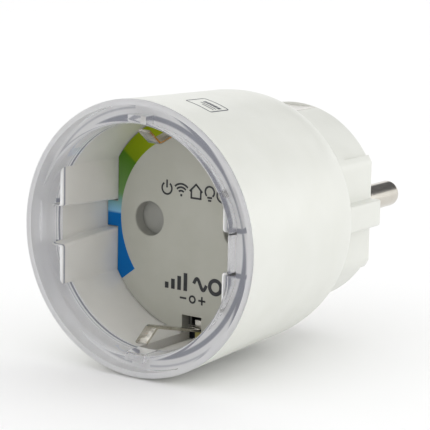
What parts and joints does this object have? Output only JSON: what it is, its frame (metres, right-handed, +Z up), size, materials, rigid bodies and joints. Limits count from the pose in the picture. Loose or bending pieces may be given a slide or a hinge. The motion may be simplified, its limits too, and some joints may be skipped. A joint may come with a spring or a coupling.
{
  "type": "smart plug",
  "caption": "Pass-through smart plug: round shell with clear light ring, deep socket well with earth clips and shuttered pin holes, round plug end with two pins and guide ribs.",
  "frame": {"origin": "centre of the plug's end face, midway between the two pins", "axes": "+Y along the pins into the wall, -Y out of the socket well, +Z up, +X to the right seen from the well"},
  "size_m": [0.0474, 0.0685, 0.0474],
  "materials": {
    "white_abs": "warm white ABS, fine matt moulded surface",
    "clear_polycarbonate": "clear polycarbonate, polished",
    "floor_plastic": "warm white moulded plastic",
    "printed_foil": "printed polyester foil with a colour scale",
    "shutter_plastic": "grey moulded plastic",
    "spring_steel": "bare spring wire",
    "carrier_plastic": "heat resistant moulded plastic",
    "contact_brass": "bare brass strip",
    "nickel_clip": "nickel plated spring bronze",
    "grey_plastic": "glass filled plastic",
    "nickel_pin": "nickel plated brass",
    "copper_link": "copper strip",
    "zinc_screw": "zinc plated steel",
    "circuit_board": "glass epoxy with green solder mask",
    "white_board": "glass epoxy with white solder mask",
    "relay_case": "moulded relay case",
    "capacitor_sleeve": "shrunk sleeve on an aluminium can",
    "winding_tape": "yellow winding tape on a ferrite core",
    "shield_can": "tinned steel can",
    "fuse_ceramic": "ceramic tube with metal caps",
    "led_resin": "clear resin over yellow phosphor",
    "switch_body": "black moulded plastic",
    "switch_stem": "natural moulded plastic"
  },
  "bodies": {
    "plug_body": {"housing": "white_abs", "light_ring": "clear_polycarbonate", "socket_floor": "floor_plastic", "floor_foil": "printed_foil", "shutter_spring": "spring_steel", "contact_carrier": "carrier_plastic", "line_contact": "contact_brass", "neutral_contact": "contact_brass", "earth_strip_top": "nickel_clip", "earth_strip_bottom": "nickel_clip", "earth_bridge": "nickel_clip", "earth_socket": "contact_brass", "plug_base": "white_abs", "pin_carrier": "grey_plastic", "line_pin": "nickel_pin", "neutral_pin": "nickel_pin", "line_link": "copper_link", "neutral_link": "copper_link", "case_screws": "zinc_screw", "power_board": "circuit_board", "relay": "relay_case", "capacitor": "capacitor_sleeve", "control_board": "circuit_board", "transformer": "winding_tape", "radio_module": "shield_can", "fuse": "fuse_ceramic", "led_board": "white_board", "leds": "led_resin", "switch_board": "circuit_board", "tact_switch": "switch_body"},
    "shutter_disc": {"shutter": "shutter_plastic"},
    "top_clip": {"earth_clip_top": "nickel_clip"},
    "bottom_clip": {"earth_clip_bottom": "nickel_clip"},
    "button": {"button_cap": "white_abs"},
    "plunger": {"switch_plunger": "switch_stem"}
  },
  "joints": [
    {"name": "shutter_turn", "type": "hinge", "parent": "plug_body", "child": "shutter_disc", "pos_m": [0, -0.0293, 0], "axis": [0, 1, 0], "range_deg": [0, 42], "stiffness_Nm_per_rad": 0.002, "springref_deg": -17.19},
    {"name": "top_clip_flex", "type": "hinge", "parent": "plug_body", "child": "top_clip", "pos_m": [0, -0.0309, 0.01875], "axis": [-1, 0, 0], "range_deg": [0, 8.5], "stiffness_Nm_per_rad": 0.2},
    {"name": "bottom_clip_flex", "type": "hinge", "parent": "plug_body", "child": "bottom_clip", "pos_m": [0, -0.0309, -0.01875], "axis": [1, 0, 0], "range_deg": [0, 8.5], "stiffness_Nm_per_rad": 0.2},
    {"name": "button_press", "type": "slide", "parent": "plug_body", "child": "button", "axis": [1, 0, 0], "range_m": [0, 0.0003], "stiffness_N_per_m": 1500},
    {"name": "plunger_press", "type": "slide", "parent": "plug_body", "child": "plunger", "axis": [1, 0, 0], "range_m": [0, 0.0003]}
  ],
  "couplings": [
    {"joint": "plunger_press", "follows": "button_press", "ratio": 1}
  ]
}
